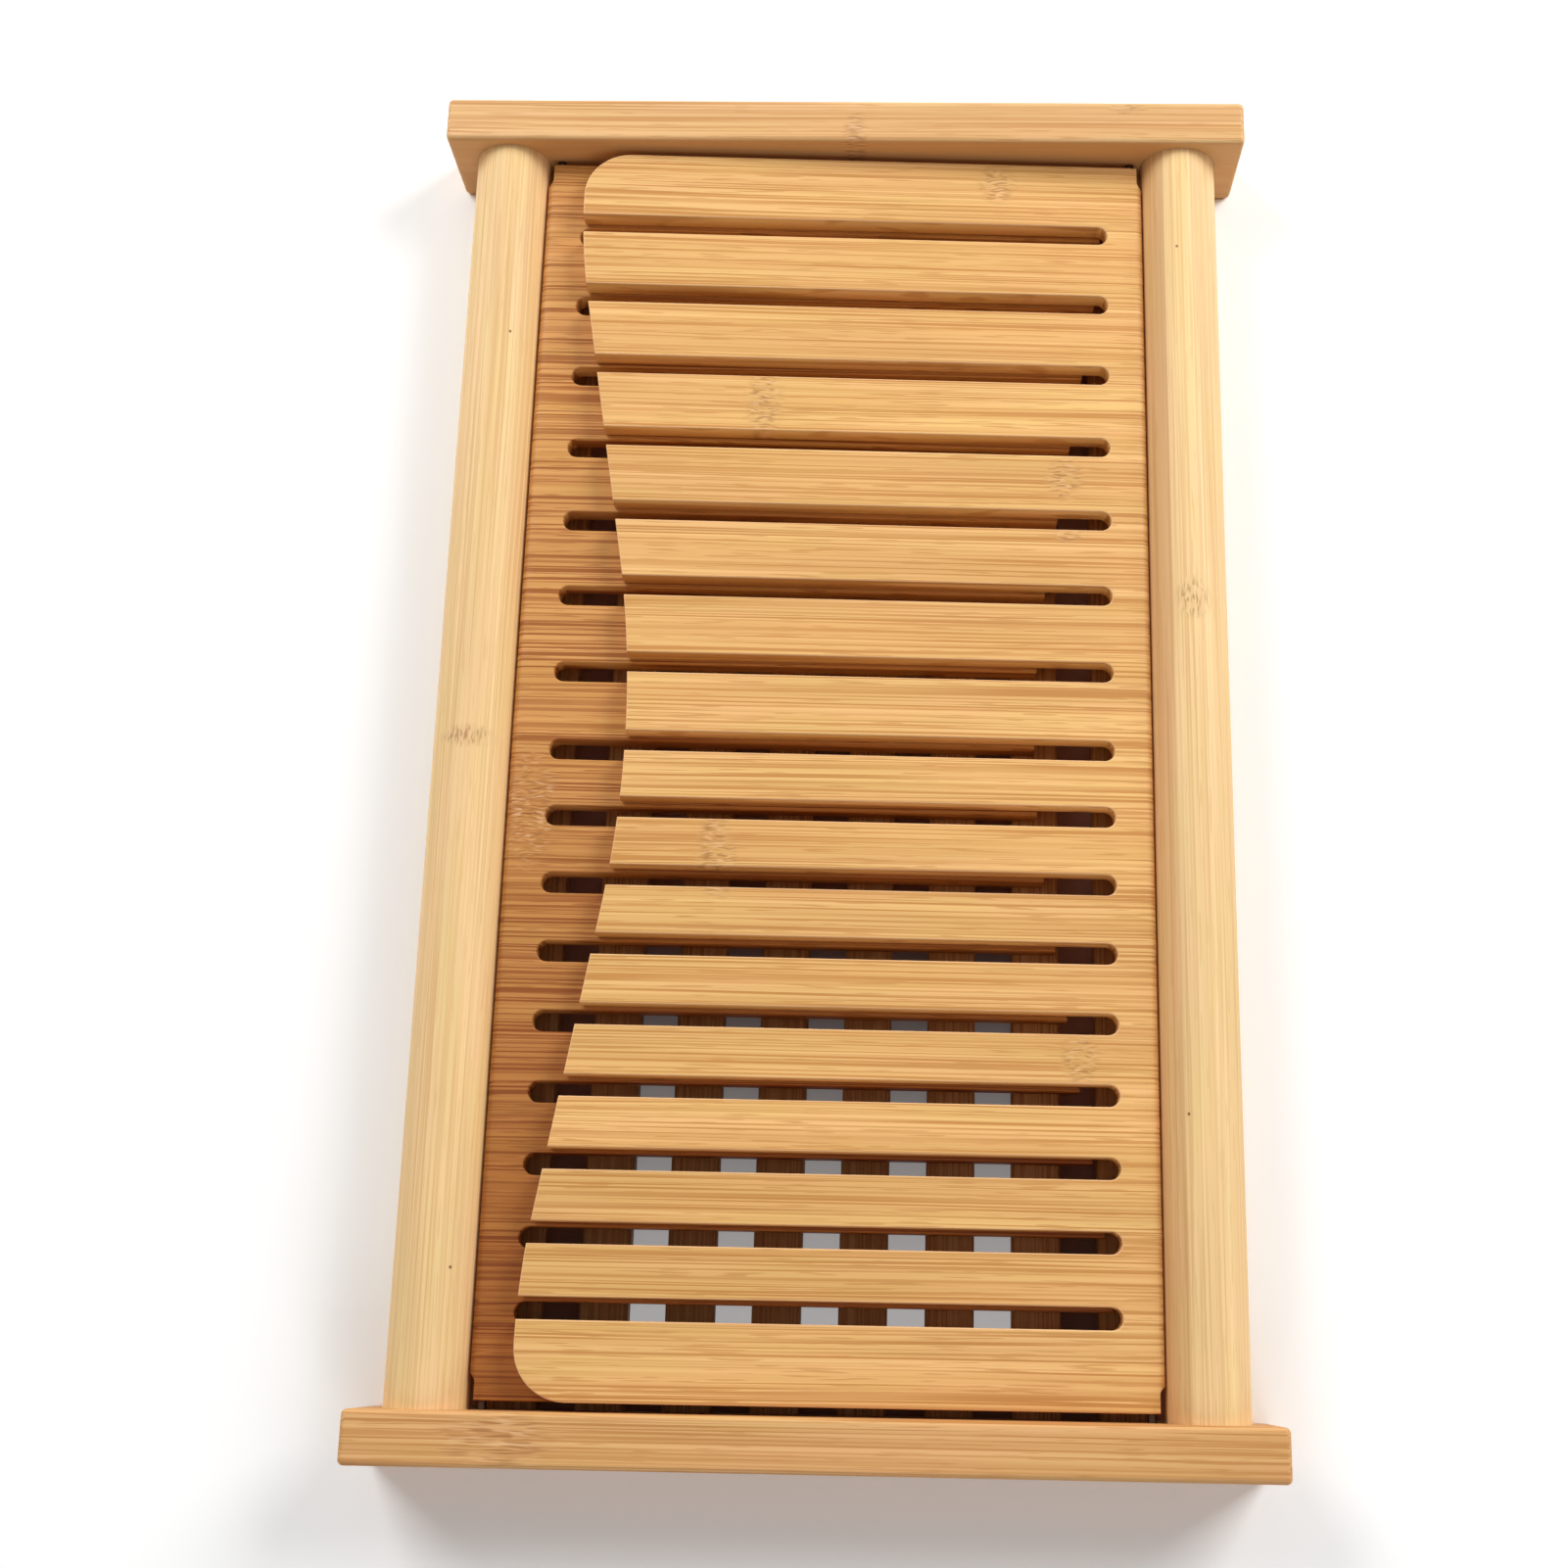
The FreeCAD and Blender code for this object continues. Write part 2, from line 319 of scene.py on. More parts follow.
def fold_tilt(s):
    """Slope of both folded panels: sin is how far the tips drop over the hinge to tip run."""
    low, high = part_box("left_panel")
    run = s.panel_height - s.panel_thickness / 2
    return math.asin((high.z - low.z - s.panel_thickness) / run)


def folded(points, turn, hinge):
    """Turn points about Y and move them to a hinge: x = u cos + z sin, z = z cos - u sin."""
    cos_t, sin_t = math.cos(turn), math.sin(turn)
    u, y, z = points.T
    placed = np.stack([u * cos_t + z * sin_t, y, z * cos_t - u * sin_t], axis=1)
    return placed + hinge


def dowel_surface(s, centre):
    """Points and faces of a dowel on the line x = centre_x, z = centre_z.

    The two parameters are the angle and the place along Y. The radius is the dowel's,
    less a slow ripple: waviness * (1 + sin(3 angle + y / 31 mm) sin(y / 17 mm)) / 2. The
    ends turn in over a quarter circle of dowel_ease and close on one flat face each.
    """
    radius = (DOWEL_HIGH.x - DOWEL_LOW.x) / 2
    reach = DOWEL_HIGH.y
    quarter = np.radians(np.linspace(0, 90, DOWEL_EASE_POINTS))
    end_y = reach - s.dowel_ease * (1 - np.sin(quarter))
    end_in = s.dowel_ease * (1 - np.cos(quarter))
    middle = np.linspace(-end_y[0], end_y[0], DOWEL_ALONG)
    y = np.concatenate([-end_y[::-1], middle[1:-1], end_y])[:, None]
    inward = np.concatenate([end_in[::-1], np.zeros(DOWEL_ALONG - 2), end_in])[:, None]
    angle = np.linspace(0, 2 * math.pi, DOWEL_AROUND, endpoint=False)[None, :]
    ripple = np.sin(RIPPLE_LOBES * angle + y / RIPPLE_TURN) * np.sin(y / RIPPLE_SWELL)
    r = radius - inward - s.dowel_waviness * (1 + ripple) / 2
    x = centre[0] + r * np.cos(angle)
    z = centre[1] + r * np.sin(angle)
    points = np.stack([x, np.broadcast_to(y, x.shape), z], axis=-1).reshape(-1, 3)
    # The rings run the other way round than a panel's, so their quads are turned over.
    faces = [quad[::-1] for quad in ring_quads(DOWEL_AROUND, len(y))]
    near_end = list(range(DOWEL_AROUND))
    far_end = list(range(len(points) - DOWEL_AROUND, len(points)))[::-1]
    return points, faces + [near_end, far_end]


# ---------------------------------------------------------------- finishes

# Inputs by number: MapRange 0 value, 1-2 the band read, 3-4 what it becomes; Mix 0 share,
# 6 and 7 its two colours; Math and VectorMath 0, 1 and 2 their terms, 3 the scale.
SMOOTH = {"interpolation_type": "SMOOTHSTEP"}
COLOUR = {"data_type": "RGBA"}
TINTED = {"data_type": "RGBA", "blend_type": "MULTIPLY"}

# Tints the grain multiplies the wood by. A fibre's is raised to the contrast.
PALE_STREAK, DARK_STREAK = (1.08, 1.11, 1.16, 1), (0.92, 0.86, 0.79, 1)
ROSY_PATCH, YELLOW_PATCH = (1.02, 0.99, 1.01, 1), (0.98, 1.01, 0.94, 1)
DARK_BAND = (0.90, 0.82, 0.72, 1)
FIBRE = (0.70, 0.54, 0.38)
# How much lighter or darker than the board a laminated strip can be.
STRIP_TONE = 0.025
# A glue line's half width and where it has faded out, in mm.
GLUE_LINE = (0.04, 0.22)
# Half length and half width of a pin-point pore, in mm.
PORE = (0.4, 0.32)
# A spot is full to the first of these and gone at the second, in half sizes.
JOINT_FADE, PORE_FADE = (0.5, 1.35), (0.375, 1.0)
PORE_DARKNESS = 0.9
# How far an eased edge is painted paler, for sanding wear and as a painted highlight where
# its round catches the light, and how far a joint has thinned the fibre lines.
EDGE_WEAR_AND_HIGHLIGHT, JOINT_THINNING = 0.5, 0.5
# Farther from every spot than a finish reads, in half sizes of a spot.
FAR = 9.0


def add(tree, kind, inputs=None, **settings):
    """Add a shader node with its settings and links.

    An input goes by its name or number and is a value, a socket or another node, which
    is linked by its first output in use.
    """
    node = tree.nodes.new("ShaderNode" + kind)
    for key, value in settings.items():
        setattr(node, key, value)
    for key, value in (inputs or {}).items():
        if isinstance(value, bpy.types.Node):
            value = next(socket for socket in value.outputs if socket.enabled)
        if isinstance(value, bpy.types.NodeSocket):
            tree.links.new(value, node.inputs[key])
        else:
            node.inputs[key].default_value = value
    return node


def new_finish(name):
    """Material with an empty tree and its output node."""
    material = bpy.data.materials.new(name)
    material.use_nodes = True
    tree = material.node_tree
    tree.nodes.clear()
    return material, tree, add(tree, "OutputMaterial")


def from_spots(node, place, spots):
    """Distance to the nearest spot, 1 on its rim: spots are x, y, half length, half width."""
    nearest = FAR
    for x, y, half_x, half_y in spots:
        step = node("VectorMath", {0: place, 1: (x, y, 0)}, operation="SUBTRACT")
        step = node("VectorMath", {0: step, 1: (1 / half_x, 1 / half_y, 0)},
                    operation="MULTIPLY")
        step = node("VectorMath", {0: step}, operation="LENGTH")
        nearest = node("Math", {0: step, 1: nearest}, operation="MINIMUM")
    return nearest


def bamboo(name, wood, strip, seed, strip_start=0.0, turn=(0, 0, 0), marks=(), pores=(),
           shade=None, rim=None, contrast=1.0, deep=1.0, fleck=1.2):
    """Planed, sanded and oiled bamboo: grain along local x, strips side by side in y.

    The eye gets straight dark fibre lines about 1 mm apart, slow changes of tone from
    strip to strip, a small mottled patch where the culm had a joint, and a low sheen.
    strip is the width of one laminated strip and strip_start the place of a glue line.
    seed picks the grain. turn is the Mapping rotation that lays the row frame's
    millimetres on local x, y, z. marks are culm joints: (x, y, half length, half width).
    pores are pin-point pores at (x, y). shade is a second wood: (colour, y where it
    starts, y where it is full). rim is the colour of the eased edges, where the mesh has the
    attribute "sanded": paler for sanding wear, and a painted highlight where the rounds catch
    the light. contrast is the strength of the fibres, deep how many times farther they go
    through the board than across it, and fleck the length of the flecks on a joint.
    """
    material, tree, output = new_finish(name)

    def node(kind, inputs=None, **settings):
        return add(tree, kind, inputs, **settings)

    def grain(along, across, w, clip=(0.0, 1.0), span=(0.0, 1.0), detail=1.0):
        """Noise with cells so many mm along and across. What lies in clip is drawn out to span."""
        cells = node("VectorMath", {0: fibres, 1: (1 / along, 1 / across, 1 / across / deep)},
                     operation="MULTIPLY")
        noise = node("TexNoise", {"Vector": cells, "W": w, "Scale": 1.0, "Detail": detail},
                     noise_dimensions="4D")
        return node("MapRange", {0: noise, 1: clip[0], 2: clip[1], 3: span[0], 4: span[1]},
                    **SMOOTH)

    place = node("TexCoord").outputs["Object"]
    place = node("Mapping", {"Vector": place, "Rotation": turn, "Scale": (1 / MM,) * 3})
    local_y = node("SeparateXYZ", {0: place}).outputs["Y"]

    # Each strip has its own tone and grain, and a thin glue line at its edge.
    strip_place = node("Math", {0: local_y, 1: 1 / strip, 2: -strip_start / strip},
                       operation="MULTIPLY_ADD")
    strip_number = node("Math", {0: strip_place}, operation="FLOOR")
    strip_seed = node("Math", {0: strip_number, 1: 7.31, 2: seed}, operation="MULTIPLY_ADD")
    chance = node("TexWhiteNoise", {"W": strip_seed}, noise_dimensions="1D").outputs["Value"]
    from_line = node("Math", {0: strip_place, 1: 0.5}, operation="PINGPONG")
    strength = min(contrast, 1.0)
    glue = node("MapRange", {0: from_line, 1: GLUE_LINE[0] / strip, 2: GLUE_LINE[1] / strip,
                3: strength, 4: 0.0}, **SMOOTH)

    # Fibres run straight but for a slow wander, and curl where a joint was. Each grain
    # below follows them.
    fibres = place
    drift = grain(120, 20, seed, span=(-0.5, 0.5))
    if marks:
        joint = node("MapRange", {0: from_spots(node, place, marks), 1: JOINT_FADE[0],
                     2: JOINT_FADE[1], 3: 1.0, 4: 0.0}, **SMOOTH)
        curl = grain(3.2 * fleck, 1.6, seed + 5, span=(-0.4, 0.4))
        drift = node("Math", {0: curl, 1: joint, 2: drift}, operation="MULTIPLY_ADD")
    drift = node("CombineXYZ", {1: drift, 2: drift})
    fibres = node("VectorMath", {0: place, 1: drift}, operation="ADD")

    if shade:
        second, start, full = shade
        share = node("MapRange", {0: local_y, 1: start, 2: full}, **SMOOTH)
        wood = node("Mix", {0: share, 6: wood, 7: second}, **COLOUR)

    # Pale and dark streaks, slow changes of hue and broader dark bands tint the wood.
    streak = grain(140, 0.66, strip_seed, (0.36, 0.64),
                   (0.5 - strength / 2, 0.5 + strength / 2), detail=3.0)
    tint = node("Mix", {0: streak, 6: PALE_STREAK, 7: DARK_STREAK}, **COLOUR)
    warmth = grain(28, 4.5, seed + 2, (0.35, 0.65))
    hue = node("Mix", {0: warmth, 6: ROSY_PATCH, 7: YELLOW_PATCH}, **COLOUR)
    tint = node("Mix", {0: 1.0, 6: tint, 7: hue}, **TINTED)
    band = grain(200, 3.4, strip_seed, (0.45, 0.62), (0.0, 0.5 * strength))
    tint = node("Mix", {0: band, 6: tint, 7: DARK_BAND}, **COLOUR)

    # Dark fibre lines stand in clusters, with short dashes and the glue lines among them.
    cluster = grain(60, 2.4, seed + 9, (0.36, 0.60), (0.45, 0.95))
    line = grain(110, 0.34, seed + 7, (0.51, 0.60), detail=0.0)
    lines = node("Math", {0: line, 1: cluster}, operation="MULTIPLY")
    dashes = grain(8.0, 0.30, seed + 3, (0.62, 0.72), (0.0, 0.6), detail=0.0)
    lines = node("Math", {0: lines, 1: dashes}, operation="MAXIMUM")
    if marks:
        faded = node("Math", {0: joint, 1: -JOINT_THINNING, 2: 1.0},
                     operation="MULTIPLY_ADD")
        lines = node("Math", {0: lines, 1: faded}, operation="MULTIPLY")
    lines = node("Math", {0: lines, 1: glue}, operation="MAXIMUM")
    fibre_tint = tuple(part ** contrast for part in FIBRE) + (1,)
    tint = node("Mix", {0: lines, 6: tint, 7: fibre_tint}, **COLOUR)
    body = node("Mix", {0: 1.0, 6: wood, 7: tint}, **TINTED)
    level = grain(60, 9, strip_seed, (0.3, 0.7), (0.965, 1.035))
    level = node("Math", {0: chance, 1: 2 * STRIP_TONE, 2: level}, operation="MULTIPLY_ADD")
    level = node("Math", {0: level, 1: STRIP_TONE}, operation="SUBTRACT")
    body = node("VectorMath", {0: body, 3: level}, operation="SCALE")

    # Brown and pale flecks mottle a joint, pores are dark, and eased edges are paler: partly
    # sanding wear, partly a painted highlight where their rounds catch the light.
    if marks:
        dark = grain(1.6 * fleck, 0.34, seed + 11, (0.48, 0.66), (0.10, 0.55), detail=0.0)
        dark = node("Math", {0: dark, 1: joint}, operation="MULTIPLY")
        body = node("Mix", {0: dark, 6: body, 7: tone("node_mark")}, **COLOUR)
        light = grain(1.6 * fleck, 0.34, seed + 13, (0.56, 0.69), (0.0, 0.4), detail=0.0)
        light = node("Math", {0: light, 1: joint}, operation="MULTIPLY")
        body = node("Mix", {0: light, 6: body, 7: tone("pale_fleck_and_edge_highlight")}, **COLOUR)
    if pores:
        nearest = from_spots(node, place, [spot + PORE for spot in pores])
        pore = node("MapRange", {0: nearest, 1: PORE_FADE[0], 2: PORE_FADE[1],
                    3: PORE_DARKNESS, 4: 0.0}, **SMOOTH)
        body = node("Mix", {0: pore, 6: body, 7: tone("pore")}, **COLOUR)
    # Painted highlight on the eased edges, mixed in with paler sanding wear.
    if rim:
        sanded = node("Attribute", attribute_name="sanded").outputs["Fac"]
        edge_wear_and_highlight = node("Math", {0: sanded, 1: EDGE_WEAR_AND_HIGHLIGHT}, operation="MULTIPLY")
        body = node("Mix", {0: edge_wear_and_highlight, 6: body, 7: rim}, **COLOUR)

    # Oil in the wood gives it an IOR near 1.48 and half matt, with dense streaks duller.
    gloss = node("MapRange", {0: streak, 3: 0.48, 4: 0.62})
    bump = node("Bump", {"Strength": 0.15, "Distance": 0.05 * MM, "Height": lines},
                invert=True)
    shader = node("BsdfPrincipled", {"Base Color": body, "Roughness": gloss,
                  "Normal": bump, "IOR": 1.48, "Specular IOR Level": 0.32})
    tree.links.new(shader.outputs[0], output.inputs["Surface"])
    return material


def drawn_steel(name):
    """Steel wire drawn through a die and oiled: dark, with fine lines along its length."""
    material, tree, output = new_finish(name)
    place = add(tree, "TexCoord").outputs["Object"]
    # Die lines are about 0.05 mm apart and 5 mm long.
    place = add(tree, "Mapping", {"Vector": place, "Scale": (20 / MM, 0.2 / MM, 20 / MM)})
    lines = add(tree, "TexNoise", {"Vector": place, "Scale": 1.0, "Detail": 2.0})
    gloss = add(tree, "MapRange", {0: lines, 3: 0.35, 4: 0.55})
    shader = add(tree, "BsdfPrincipled", {"Base Color": tone("pin_steel"),
                 "Metallic": 1.0, "Roughness": gloss})
    tree.links.new(shader.outputs[0], output.inputs["Surface"])
    return material


def finish(piece, material):
    """Give a piece its one material."""
    piece.data.materials.clear()
    piece.data.materials.append(material)


# ---------------------------------------------------------------- operators

# Culm joints in millimetres: x and y with the grain along x, half length, half width.
UPPER_PANEL_MARKS = (
    (29.6, 113.2, 3.5, 4.0), (-14.6, 65.0, 3.4, 6.5), (42.3, 50.8, 3.3, 4.3),
    (42.9, 39.7, 2.4, 2.0), (-20.9, -20.4, 2.8, 4.3), (-20.4, -25.4, 3.6, 6.1),
    (44.2, -58.6, 3.2, 4.3))
LOWER_PANEL_MARKS = ((-54.9, -14.5, 4.5, 10.4),)
LEFT_DOWEL_MARKS = ((-2.3, 65.8, 2.0, 4.6),)
RIGHT_DOWEL_MARKS = ((25.9, -66.0, 3.8, 3.0),)
FAR_RAIL_MARKS = ((2.2, 120.9, 2.3, 4.2), (55.3, 126.6, 3.5, 1.2))
NEAR_RAIL_MARKS = ((-51.4, -123.7, 9.0, 4.5),)
# Pin-point pores: x and y along the same grain.
LEFT_DOWEL_PORES = ((78.9, 63.1), (-96.1, 62.1))
RIGHT_DOWEL_PORES = ((97.9, -64.5), (-68.3, -62.9))
# Where the right dowel's darker inner strip begins, across its grain in millimetres.
DOWEL_STRIP = (-62.3, -62.1)
# Y from which the lower panel deepens in tone towards its near end, and where it is full.
LOWER_PANEL_SHADE = (20.0, -110.0)
# Mapping turn that lays the grain of a piece along Y on local x.
ALONG_Y = (0, 0, -math.pi / 2)


class GUIDE_OT_panels(bpy.types.Operator):
    """Make both slotted panels, folded one on the other"""
    bl_idname = "slicing_guide.panels"
    bl_label = "Slotted panels"

    def execute(self, context):
        s = sizes()
        tilt = fold_tilt(s)
        oiled_gold = bamboo(
            "oiled_golden_bamboo", tone("upper_wood"), strip=16.4, strip_start=5.2, seed=3.0,
            turn=(0, -tilt, 0), contrast=1.05, deep=8.0, rim=tone("pale_fleck_and_edge_highlight"),
            marks=UPPER_PANEL_MARKS)
        oiled_caramel = bamboo(
            "oiled_caramel_bamboo", tone("lower_wood"), strip=15.2, strip_start=-91.6,
            seed=8.0, turn=(0, -tilt, 0), contrast=1.95, deep=8.0,
            shade=(tone("lower_shade"),) + LOWER_PANEL_SHADE, marks=LOWER_PANEL_MARKS)
        for side, turn, nearer, material in (
                ("left", tilt, s.slot_stagger, oiled_caramel),
                ("right", tilt + math.pi, 0.0, oiled_gold)):
            node = side + "_panel"
            points, faces, sanded = panel_surface(s, nearer)
            place = folded(points, turn, HINGES[node])
            piece = put_mesh(node + "_wood", place, faces, flat_faces=2)
            # The eased edges get a painted highlight with their sanding wear through this
            # attribute.
            edge_wear_and_highlight = piece.data.attributes.new("sanded", "FLOAT", "POINT")
            edge_wear_and_highlight.data.foreach_set("value", sanded)
            finish(piece, material)
            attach(piece, node)
            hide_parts(node)
        return {"FINISHED"}


class GUIDE_OT_dowels(bpy.types.Operator):
    """Make both dowels with their shaping ripple and eased ends"""
    bl_idname = "slicing_guide.dowels"
    bl_label = "Dowels"

    def execute(self, context):
        s = sizes()
        side_strip = (tone("dowel_shade"),) + DOWEL_STRIP
        for side, start, shade, seed, marks, pores in (
                ("left", 63.4, None, 4.0, LEFT_DOWEL_MARKS, LEFT_DOWEL_PORES),
                ("right", -62.2, side_strip, 12.0, RIGHT_DOWEL_MARKS, RIGHT_DOWEL_PORES)):
            node = side + "_dowel"
            low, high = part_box(node)
            centre = ((low.x + high.x) / 2, (low.z + high.z) / 2)
            points, faces = dowel_surface(s, centre)
            piece = put_mesh(node + "_wood", points, faces, flat_faces=2)
            material = bamboo("sanded_pale_bamboo_" + side, tone("dowel_wood"), strip=5.2,
                              strip_start=start, seed=seed, turn=ALONG_Y, contrast=0.42,
                              shade=shade, marks=marks, pores=pores)
            finish(piece, material)
            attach(piece, "frame")
            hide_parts(node)
        return {"FINISHED"}


class GUIDE_OT_rails(bpy.types.Operator):
    """Finish the two end rails"""
    bl_idname = "slicing_guide.rails"
    bl_label = "End rails"

    def execute(self, context):
        far = bamboo("oiled_rail_bamboo_far", tone("far_rail_wood"), strip=4.6,
                     strip_start=119.3, seed=1.0, contrast=0.8, fleck=1.8,
                     marks=FAR_RAIL_MARKS)
        near = bamboo("oiled_rail_bamboo_near", tone("near_rail_wood"), strip=4.6,
                      strip_start=-128.3, seed=6.0, contrast=0.9, fleck=3.0,
                      marks=NEAR_RAIL_MARKS)
        finish(frame["nodes"]["far_rail"], far)
        finish(frame["nodes"]["near_rail"], near)
        return {"FINISHED"}


class GUIDE_OT_slats(bpy.types.Operator):
    """Finish the crumb slats in a darker wood, painted shade for their place under the panels"""
    bl_idname = "slicing_guide.slats"
    bl_label = "Crumb slats"

    def execute(self, context):
        # The slats' darker wood stands for the shade under the panels: painted shade.
        slat_bamboo_painted_shade = bamboo("planed_slat_bamboo", tone("slat_wood"), strip=15.0, seed=15.0,
                        turn=ALONG_Y)
        for name, node in frame["nodes"].items():
            if name.startswith("slat_"):
                finish(node, slat_bamboo_painted_shade)
        return {"FINISHED"}


class GUIDE_OT_pins(bpy.types.Operator):
    """Finish the hinge pins"""
    bl_idname = "slicing_guide.pins"
    bl_label = "Hinge pins"

    def execute(self, context):
        steel = drawn_steel("drawn_steel_wire")
        for name, node in frame["nodes"].items():
            if name.endswith("_hinge_pin"):
                finish(node, steel)
        return {"FINISHED"}


# ---------------------------------------------------------------- studio

# Soft lamps: name, place in metres and watts. They are square and aim at the guide.
SOFTBOXES = (("right_softbox", (0.66, 0.50, 0.54), 7.0),
             ("left_softbox", (-0.56, 0.56, 0.58), 5.5),
             ("front_softbox", (0.16, -0.80, 0.52), 1.7))
SOFTBOX_SIDE = 0.5
ROOM_LIGHT = 0.24

FLOOR_REACH = 4.0
FLOOR_GAP = 0.05 * MM
# How much paler the board is to a straight look, and the distances from the guide between
# which it turns plain white.
PALER_LOOK = 0.2
WHITE_BEYOND = (0.30, 0.75)
# Closed in is floor with less open sky than this within that distance; it gets painted shade.
SKY_DISTANCE = 30 * MM
CLOSED_SKY = (0.22, 0.34)
# Painted light on the floor, a glow in greyish patches: how far they go aside, where they
# fade out along Y and at the near gap, how strongly they glow at most, and how much of the
# painted shade each part of glow takes away.
PATCH_ASIDE = (34 * MM, 41 * MM)
PATCH_ALONG = (-125 * MM, -30 * MM)
PATCH_NEAR_END = (-116 * MM, -110 * MM)
PATCH_GLOW = 0.4
PATCH_CLEARS = -4.0


def aim(thing, target):
    """Point a lamp or camera at a place."""
    away = Vector(target) - thing.location
    thing.rotation_euler = away.to_track_quat("-Z", "Y").to_euler()


def seen_white(tree):
    """1 for rays that look at the background straight, in a reflection or through glass."""
    rays = add(tree, "LightPath").outputs
    both = add(tree, "Math", {0: rays["Is Camera Ray"], 1: rays["Is Glossy Ray"]},
               operation="MAXIMUM")
    return add(tree, "Math", {0: both, 1: rays["Is Transmission Ray"]}, operation="MAXIMUM")


class GUIDE_OT_stage(bpy.types.Operator):
    """Make the pale floor, three soft lamps, the surrounding light and the camera"""
    bl_idname = "slicing_guide.stage"
    bl_label = "Studio"

    def execute(self, context):
        scene = context.scene
        scene.view_settings.view_transform = "Standard"
        self.floor()
        self.surroundings(scene)
        for name, place, power in SOFTBOXES:
            self.softbox(scene, name, place, power)
        self.camera(scene)
        return {"FINISHED"}

    def softbox(self, scene, name, place, power):
        """Hang one square soft lamp that faces the guide."""
        lamp = bpy.data.lights.new(name, "AREA")
        lamp.shape = "SQUARE"
        lamp.size = SOFTBOX_SIDE
        lamp.energy = power
        softbox = bpy.data.objects.new(name, lamp)
        softbox.location = place
        aim(softbox, (0, 0, 0))
        scene.collection.objects.link(softbox)

    def painted_shade_and_glow(self, tree, place):
        """Shares of floor under folded panels: painted shade and painted light.

        The painted shade is dark and brownish, as from light off the wood. The painted light
        is a glow in greyish patches that lie in the middle, under the near slots, and take
        the painted shade away.
        """
        apart = add(tree, "SeparateXYZ", {0: place}).outputs
        sky = add(tree, "AmbientOcclusion", {"Distance": SKY_DISTANCE}, samples=16)
        closed = add(tree, "MapRange", {0: sky.outputs["AO"], 1: CLOSED_SKY[0],
                     2: CLOSED_SKY[1], 3: 1.0, 4: 0.0}, **SMOOTH)
        aside = add(tree, "Math", {0: apart["X"]}, operation="ABSOLUTE")
        middle = add(tree, "MapRange", {0: aside, 1: PATCH_ASIDE[0], 2: PATCH_ASIDE[1],
                     3: 1.0, 4: 0.0}, **SMOOTH)
        near = add(tree, "MapRange", {0: apart["Y"], 1: PATCH_ALONG[0], 2: PATCH_ALONG[1],
                   3: PATCH_GLOW, 4: 0.0}, **SMOOTH)
        inside = add(tree, "MapRange", {0: apart["Y"], 1: PATCH_NEAR_END[0],
                     2: PATCH_NEAR_END[1]}, **SMOOTH)
        painted_glow_share = add(tree, "Math", {0: middle, 1: near}, operation="MULTIPLY")
        painted_glow_share = add(tree, "Math", {0: painted_glow_share, 1: inside}, operation="MULTIPLY")
        painted_glow_share = add(tree, "Math", {0: painted_glow_share, 1: closed}, operation="MULTIPLY")
        painted_shade_share = add(tree, "Math", {0: painted_glow_share, 1: PATCH_CLEARS, 2: closed},
                   operation="MULTIPLY_ADD")
        return painted_shade_share, painted_glow_share

    def floor(self):
        """Lay the floor: matt white board, a little paler to a straight look than to light.

        It is plain white beyond the guide's own shadow.
        """
        corners = np.array([[-1, -1], [1, -1], [1, 1], [-1, 1]]) * FLOOR_REACH
        points = np.column_stack([corners, np.full(4, -FLOOR_GAP)])
        floor = put_mesh("studio_floor", points, [[0, 1, 2, 3]])
        material, tree, output = new_finish("matt_white_board")
        place = add(tree, "TexCoord").outputs["Object"]
        straight = seen_white(tree)
        # Painted shade and painted light under the folded panels: dark brownish paint where they
        # close the floor in, and a glow in patches under the near slots.
        painted_shade_share, painted_glow_share = self.painted_shade_and_glow(tree, place)
        painted_shade_share = add(tree, "Math", {0: painted_shade_share, 1: straight}, operation="MULTIPLY",
                   use_clamp=True)
        paler = add(tree, "Math", {0: straight, 1: PALER_LOOK, 2: 1.0},
                    operation="MULTIPLY_ADD")
        paint = add(tree, "VectorMath", {0: tone("floor")[:3], 3: paler}, operation="SCALE")
        paint = add(tree, "Mix", {0: painted_shade_share, 6: paint, 7: tone("painted_shade_floor")}, **COLOUR)
        board = add(tree, "BsdfDiffuse", {"Color": paint})
        away = add(tree, "VectorMath", {0: place}, operation="LENGTH")
        white = add(tree, "MapRange", {0: away, 1: WHITE_BEYOND[0], 2: WHITE_BEYOND[1]},
                    **SMOOTH)
        # The painted glow under the near slots adds to the plain white beyond the shadow.
        share = add(tree, "Math", {0: white, 1: painted_glow_share}, operation="ADD")
        share = add(tree, "Math", {0: straight, 1: share}, operation="MULTIPLY")
        glow = add(tree, "Emission", {"Color": linear("#FFFFFF")})
        mixed = add(tree, "MixShader", {0: share, 1: board, 2: glow})
        tree.links.new(mixed.outputs[0], output.inputs["Surface"])
        finish(floor, material)

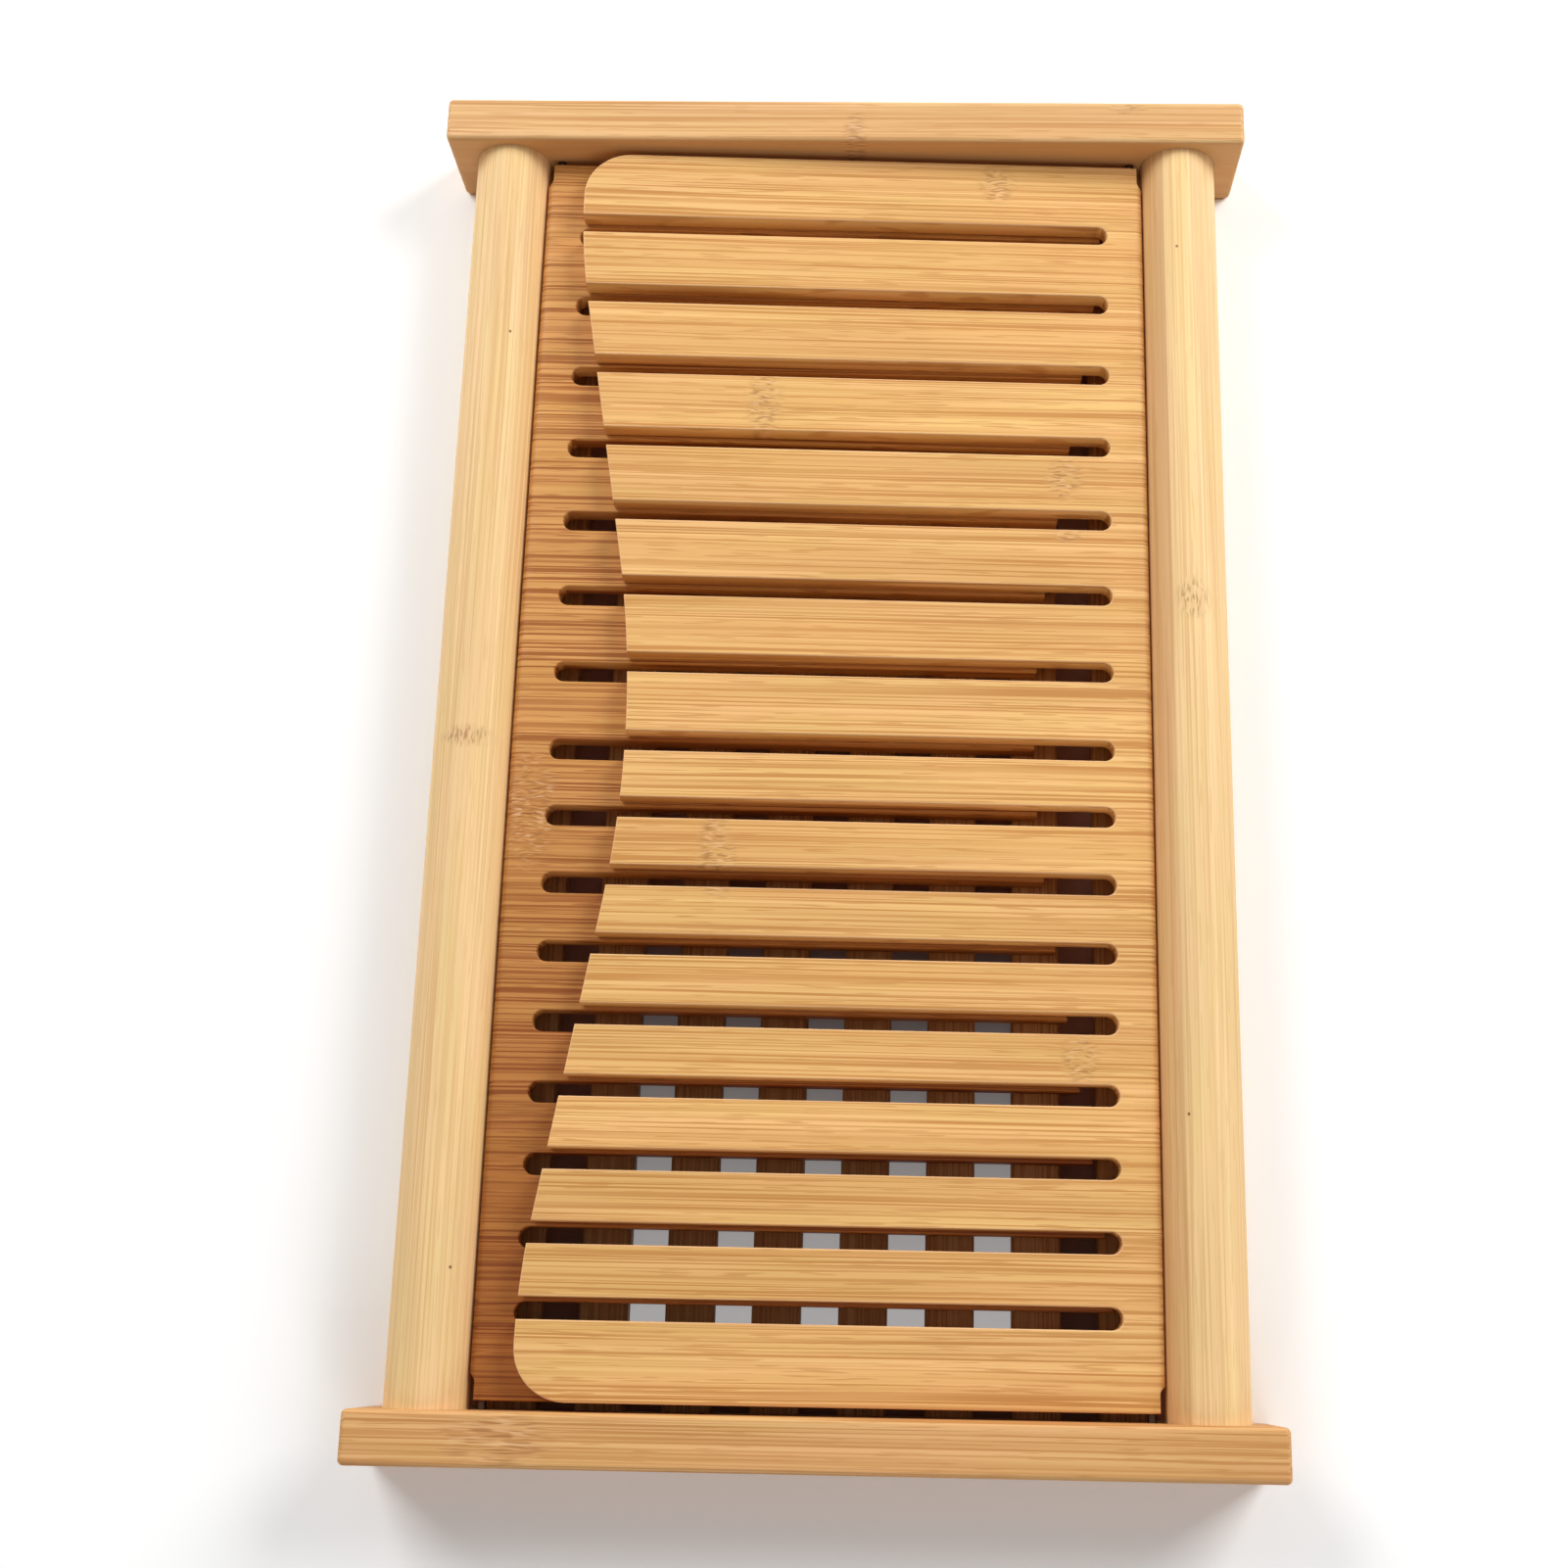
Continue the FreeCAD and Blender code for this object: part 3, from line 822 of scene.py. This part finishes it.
    def surroundings(self, scene):
        """Light the guide evenly from a white room that looks plain white itself."""
        world = bpy.data.worlds.new("white_room")
        world.use_nodes = True
        tree = world.node_tree
        tree.nodes.clear()
        room = add(tree, "Background", {"Color": linear("#FFFFFF"), "Strength": ROOM_LIGHT})
        white = add(tree, "Background", {"Color": linear("#FFFFFF"), "Strength": 1.0})
        mixed = add(tree, "MixShader", {0: seen_white(tree), 1: room, 2: white})
        output = add(tree, "OutputWorld")
        tree.links.new(mixed.outputs[0], output.inputs["Surface"])
        scene.world = world

    def camera(self, scene):
        """Set the camera over the guide's near half, looking down and to the far rail."""
        lens = bpy.data.cameras.new("camera")
        lens.sensor_width = 36.0
        lens.lens = 45.7
        lens.shift_x, lens.shift_y = -0.0475, 0.0233
        lens.clip_start = 0.01
        camera = bpy.data.objects.new("camera", lens)
        camera.location = (0.01349, -0.10903, 0.35992)
        camera.rotation_euler = (0.2623, 0.0185, 0.0188)
        scene.collection.objects.link(camera)
        scene.camera = camera


class GUIDE_PT_sidebar(bpy.types.Panel):
    """Sizes, colours and the steps that make the guide"""
    bl_label = "Slicing guide"
    bl_idname = "GUIDE_PT_sidebar"
    bl_space_type = "VIEW_3D"
    bl_region_type = "UI"
    bl_category = "Slicing guide"

    def draw(self, context):
        for step in STEPS:
            self.layout.operator(step.bl_idname)
        for group in (context.scene.guide_sizes, context.scene.guide_colours):
            box = self.layout.box()
            for name in group.bl_rna.properties.keys():
                if name not in ("rna_type", "name"):
                    box.prop(group, name)


STEPS = (GUIDE_OT_rails, GUIDE_OT_dowels, GUIDE_OT_panels, GUIDE_OT_slats, GUIDE_OT_pins,
         GUIDE_OT_stage)
CLASSES = (GuideSizes, GuideColours) + STEPS + (GUIDE_PT_sidebar,)


def register():
    for cls in CLASSES:
        bpy.utils.register_class(cls)
    bpy.types.Scene.guide_sizes = PointerProperty(type=GuideSizes)
    bpy.types.Scene.guide_colours = PointerProperty(type=GuideColours)


def unregister():
    del bpy.types.Scene.guide_colours
    del bpy.types.Scene.guide_sizes
    for cls in reversed(CLASSES):
        bpy.utils.unregister_class(cls)


def main():
    register()
    for step in STEPS:
        getattr(bpy.ops.slicing_guide, step.bl_idname.split(".")[1])()


if __name__ == "__main__":
    main()
